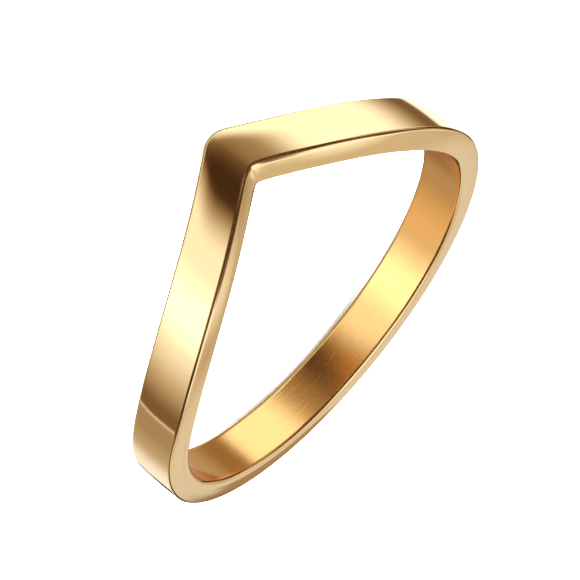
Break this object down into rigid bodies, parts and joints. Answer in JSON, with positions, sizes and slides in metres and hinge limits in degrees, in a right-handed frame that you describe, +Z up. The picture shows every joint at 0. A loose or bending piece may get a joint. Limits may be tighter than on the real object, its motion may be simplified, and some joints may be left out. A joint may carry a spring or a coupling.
{
  "type": "chevron ring",
  "caption": "Plain finger ring in one piece: a flat polished band round the finger that dips into a V at the front, lying on its side.",
  "frame": {"origin": "middle of the ring's box, on the surface that it lies on", "axes": "+Z up, -Y towards the tip of the V, +Y towards the back of the band; the finger hole's axis leans from +Z towards +Y by 11.7 degrees"},
  "size_m": [0.0197, 0.0204, 0.0049],
  "materials": {
    "gold_tone_metal": "mirror polished outside and on the edges, fine round brushing inside the finger hole"
  },
  "bodies": {
    "root": {"band": "gold_tone_metal"}
  },
  "joints": []
}
